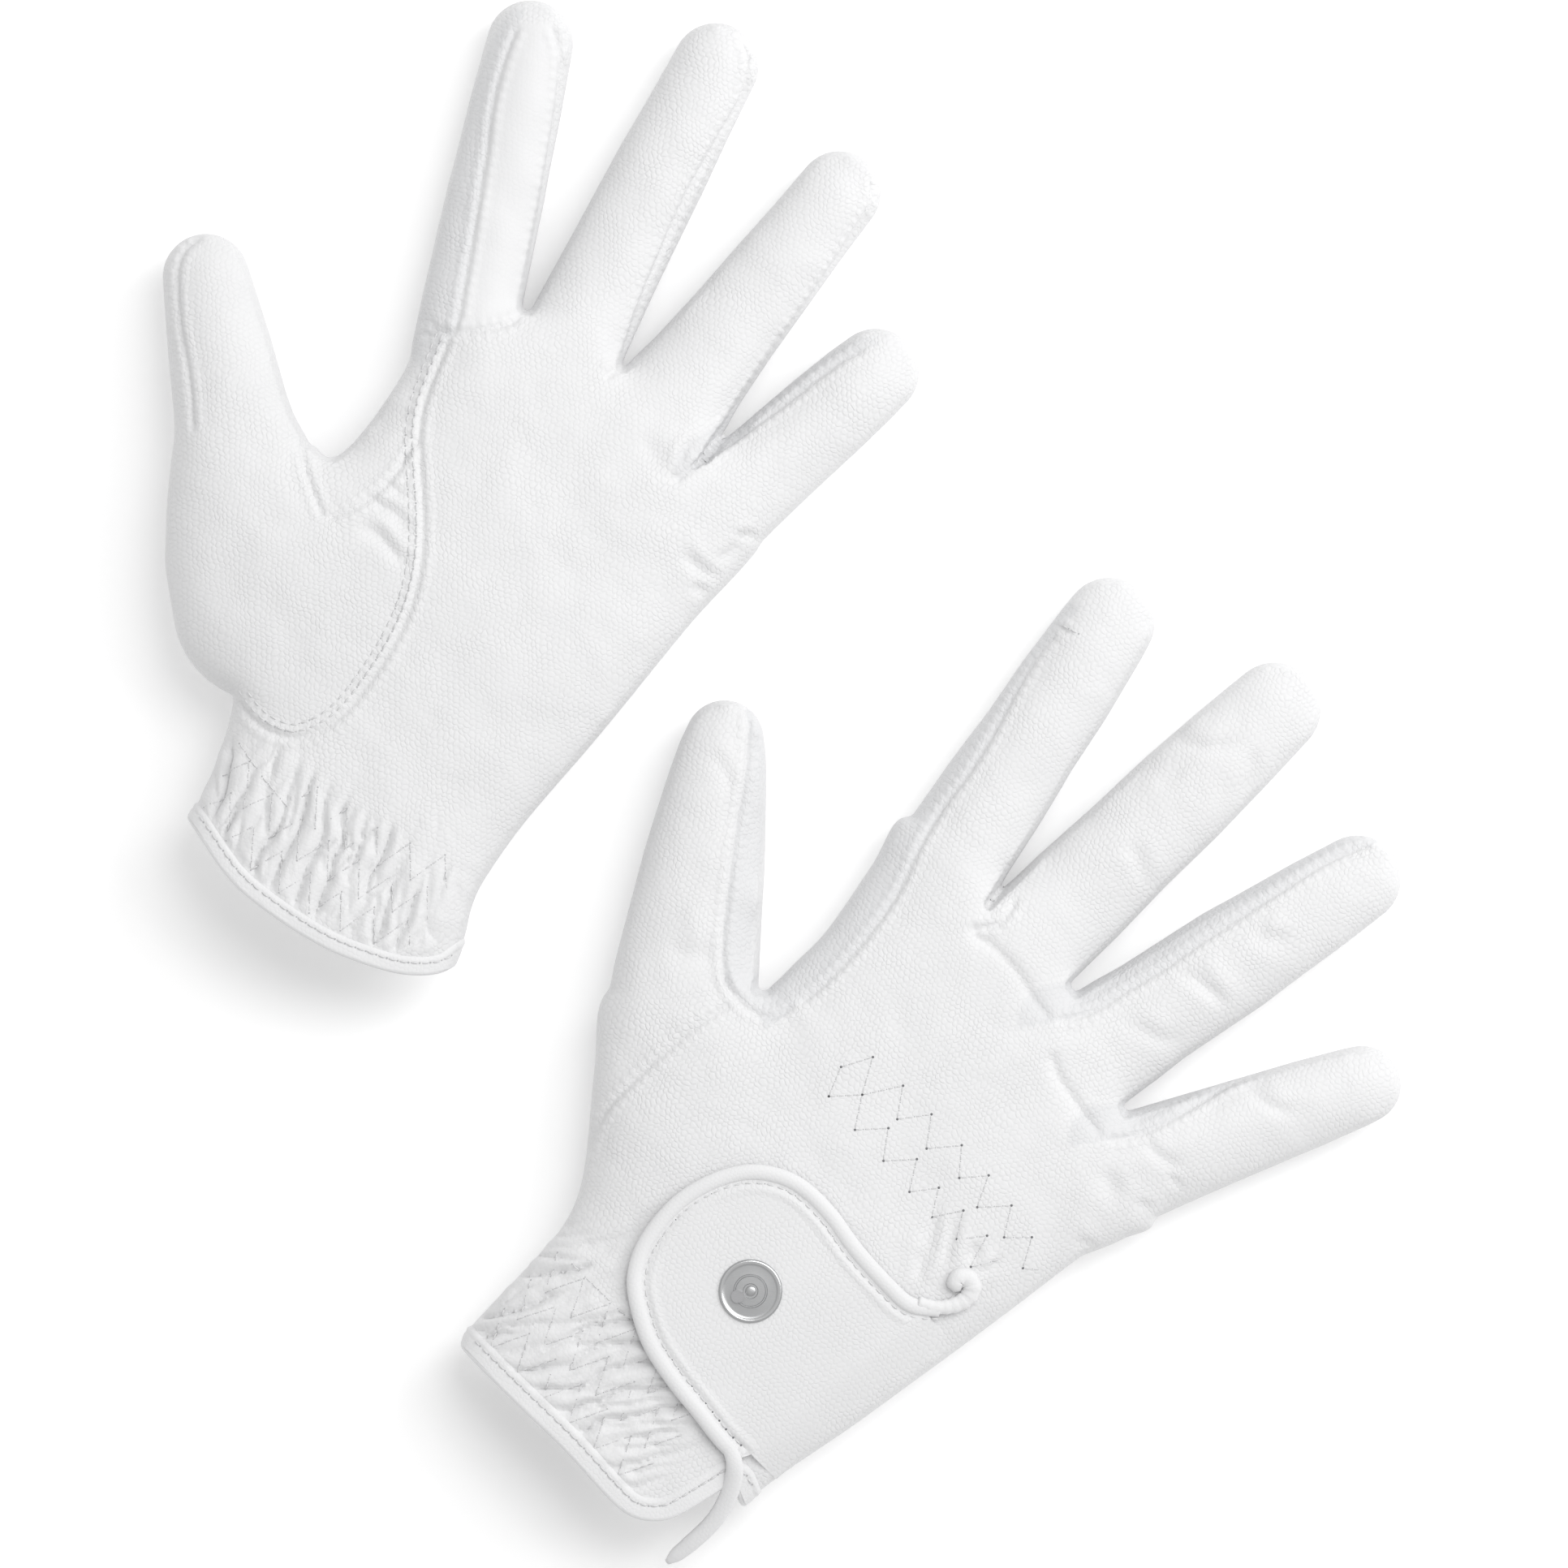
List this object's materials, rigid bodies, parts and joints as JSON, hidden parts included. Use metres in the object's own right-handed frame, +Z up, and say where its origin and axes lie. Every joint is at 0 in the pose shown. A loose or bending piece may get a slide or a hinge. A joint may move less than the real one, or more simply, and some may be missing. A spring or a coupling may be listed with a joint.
{
  "type": "riding gloves",
  "caption": "Pair of short riding gloves in grained synthetic leather, with bound wrist tabs and round badges, gathered wrists, zigzag elastic back and bending fingers",
  "frame": {"origin": "middle of the pair in plan, on the floor under both gloves", "axes": "+Z up from the floor, +Y the way the left glove's fingers mostly point, +X from the left glove to the right glove; the left glove lies palm up and the right one palm down"},
  "size_m": [0.3046, 0.387, 0.0331],
  "materials": {
    "grain_leather": "matte",
    "grip_leather": "matte",
    "side_leather": "matte",
    "binding": "matte",
    "elastic": "matte",
    "touch_fastener": "matte",
    "badge_metal": "satin",
    "post_metal": "satin"
  },
  "bodies": {
    "left_hand": {"left_back_panel": "grain_leather", "left_cuff_binding": "binding", "left_fourchette_1": "side_leather", "left_fourchette_2": "side_leather", "left_fourchette_3": "side_leather", "left_grip_panel": "grip_leather", "left_knuckle_elastic": "elastic", "left_loop_patch": "touch_fastener", "left_palm_panel": "grain_leather", "left_tab_anchor": "grain_leather", "left_thumb_gusset": "side_leather", "left_thumb_panel": "grain_leather", "left_vent_binding": "binding", "left_wrist_elastic": "elastic"},
    "left_tab": {"left_badge_cap": "badge_metal", "left_badge_post": "post_metal", "left_closure_tab": "grain_leather", "left_hook_patch": "touch_fastener", "left_tab_piping": "binding"},
    "left_index_middle": {"left_index_mid": "grain_leather"},
    "left_index_end": {"left_index_tip": "grain_leather"},
    "left_long_middle": {"left_long_mid": "grain_leather"},
    "left_long_end": {"left_long_tip": "grain_leather"},
    "left_ring_middle": {"left_ring_mid": "grain_leather"},
    "left_ring_end": {"left_ring_tip": "grain_leather"},
    "left_little_middle": {"left_little_mid": "grain_leather"},
    "left_little_end": {"left_little_tip": "grain_leather"},
    "left_thumb_end": {"left_thumb_tip": "grain_leather"},
    "right_hand": {"right_back_panel": "grain_leather", "right_cuff_binding": "binding", "right_fourchette_1": "side_leather", "right_fourchette_2": "side_leather", "right_fourchette_3": "side_leather", "right_grip_panel": "grip_leather", "right_knuckle_elastic": "elastic", "right_loop_patch": "touch_fastener", "right_palm_panel": "grain_leather", "right_tab_anchor": "grain_leather", "right_thumb_gusset": "side_leather", "right_thumb_panel": "grain_leather", "right_vent_binding": "binding", "right_wrist_elastic": "elastic"},
    "right_tab": {"right_badge_cap": "badge_metal", "right_badge_post": "post_metal", "right_closure_tab": "grain_leather", "right_hook_patch": "touch_fastener", "right_tab_piping": "binding"},
    "right_index_middle": {"right_index_mid": "grain_leather"},
    "right_index_end": {"right_index_tip": "grain_leather"},
    "right_long_middle": {"right_long_mid": "grain_leather"},
    "right_long_end": {"right_long_tip": "grain_leather"},
    "right_ring_middle": {"right_ring_mid": "grain_leather"},
    "right_ring_end": {"right_ring_tip": "grain_leather"},
    "right_little_middle": {"right_little_mid": "grain_leather"},
    "right_little_end": {"right_little_tip": "grain_leather"},
    "right_thumb_end": {"right_thumb_tip": "grain_leather"}
  },
  "joints": [
    {"name": "right_hand_lift", "type": "slide", "parent": "left_hand", "child": "right_hand", "axis": [0, 0, 1], "range_m": [0, 0.1]},
    {"name": "left_tab_swing", "type": "hinge", "parent": "left_hand", "child": "left_tab", "pos_m": [-0.08083, -0.02407, 0.0012], "axis": [-0.5483, -0.8363, 0], "range_deg": [0, 150]},
    {"name": "left_index_bend", "type": "hinge", "parent": "left_hand", "child": "left_index_middle", "pos_m": [-0.07166, 0.14467, 0.01454], "axis": [0.9789, -0.2044, 0], "range_deg": [0, 63]},
    {"name": "left_index_end_bend", "type": "hinge", "parent": "left_index_middle", "child": "left_index_end", "pos_m": [-0.0668, 0.16795, 0.01343], "axis": [0.9789, -0.2044, 0], "range_deg": [0, 42]},
    {"name": "left_long_bend", "type": "hinge", "parent": "left_hand", "child": "left_long_middle", "pos_m": [-0.03772, 0.1358, 0.01454], "axis": [0.8911, -0.4538, 0], "range_deg": [0, 63]},
    {"name": "left_long_end_bend", "type": "hinge", "parent": "left_long_middle", "child": "left_long_end", "pos_m": [-0.02535, 0.1601, 0.01343], "axis": [0.8911, -0.4538, 0], "range_deg": [0, 42]},
    {"name": "left_ring_bend", "type": "hinge", "parent": "left_hand", "child": "left_ring_middle", "pos_m": [-0.0129, 0.11152, 0.01454], "axis": [0.7915, -0.6111, 0], "range_deg": [0, 63]},
    {"name": "left_ring_end_bend", "type": "hinge", "parent": "left_ring_middle", "child": "left_ring_end", "pos_m": [0.00251, 0.13148, 0.01343], "axis": [0.7915, -0.6111, 0], "range_deg": [0, 42]},
    {"name": "left_little_bend", "type": "hinge", "parent": "left_hand", "child": "left_little_middle", "pos_m": [0.0024, 0.08258, 0.01454], "axis": [0.6662, -0.7458, 0], "range_deg": [0, 63]},
    {"name": "left_little_end_bend", "type": "hinge", "parent": "left_little_middle", "child": "left_little_end", "pos_m": [0.01622, 0.09493, 0.01343], "axis": [0.6662, -0.7458, 0], "range_deg": [0, 42]},
    {"name": "left_thumb_bend", "type": "hinge", "parent": "left_hand", "child": "left_thumb_end", "pos_m": [-0.13769, 0.09902, 0.016], "axis": [0.9833, 0.1818, 0], "range_deg": [0, 60]},
    {"name": "right_tab_swing", "type": "hinge", "parent": "right_hand", "child": "right_tab", "pos_m": [-0.01159, -0.16645, 0.0319], "axis": [0.7575, 0.6528, 0], "range_deg": [0, 150]},
    {"name": "right_index_bend", "type": "hinge", "parent": "right_hand", "child": "right_index_middle", "pos_m": [0.05505, 0.0035, 0.00566], "axis": [-0.8168, 0.5769, 0], "range_deg": [0, 63]},
    {"name": "right_index_end_bend", "type": "hinge", "parent": "right_index_middle", "child": "right_index_end", "pos_m": [0.07032, 0.02512, 0.00522], "axis": [-0.8168, 0.5769, 0], "range_deg": [0, 42]},
    {"name": "right_long_bend", "type": "hinge", "parent": "right_hand", "child": "right_long_middle", "pos_m": [0.08479, -0.01668, 0.00566], "axis": [-0.7026, 0.7115, 0], "range_deg": [0, 63]},
    {"name": "right_long_end_bend", "type": "hinge", "parent": "right_long_middle", "child": "right_long_end", "pos_m": [0.10584, 0.00411, 0.00522], "axis": [-0.7026, 0.7115, 0], "range_deg": [0, 42]},
    {"name": "right_ring_bend", "type": "hinge", "parent": "right_hand", "child": "right_ring_middle", "pos_m": [0.10358, -0.04887, 0.00566], "axis": [-0.5621, 0.8271, 0], "range_deg": [0, 63]},
    {"name": "right_ring_end_bend", "type": "hinge", "parent": "right_ring_middle", "child": "right_ring_end", "pos_m": [0.12602, -0.03362, 0.00522], "axis": [-0.5621, 0.8271, 0], "range_deg": [0, 42]},
    {"name": "right_little_bend", "type": "hinge", "parent": "right_hand", "child": "right_little_middle", "pos_m": [0.11041, -0.0861, 0.00566], "axis": [-0.3567, 0.9342, 0], "range_deg": [0, 63]},
    {"name": "right_little_end_bend", "type": "hinge", "parent": "right_little_middle", "child": "right_little_end", "pos_m": [0.12995, -0.07864, 0.00522], "axis": [-0.3567, 0.9342, 0], "range_deg": [0, 42]},
    {"name": "right_thumb_bend", "type": "hinge", "parent": "right_hand", "child": "right_thumb_end", "pos_m": [-0.0187, -0.01372, 0.00564], "axis": [-0.9887, 0.15, 0], "range_deg": [0, 60]}
  ],
  "couplings": [
    {"joint": "left_index_end_bend", "follows": "left_index_bend", "ratio": 0.66667},
    {"joint": "left_long_end_bend", "follows": "left_long_bend", "ratio": 0.66667},
    {"joint": "left_ring_end_bend", "follows": "left_ring_bend", "ratio": 0.66667},
    {"joint": "left_little_end_bend", "follows": "left_little_bend", "ratio": 0.66667},
    {"joint": "right_index_end_bend", "follows": "right_index_bend", "ratio": 0.66667},
    {"joint": "right_long_end_bend", "follows": "right_long_bend", "ratio": 0.66667},
    {"joint": "right_ring_end_bend", "follows": "right_ring_bend", "ratio": 0.66667},
    {"joint": "right_little_end_bend", "follows": "right_little_bend", "ratio": 0.66667}
  ]
}
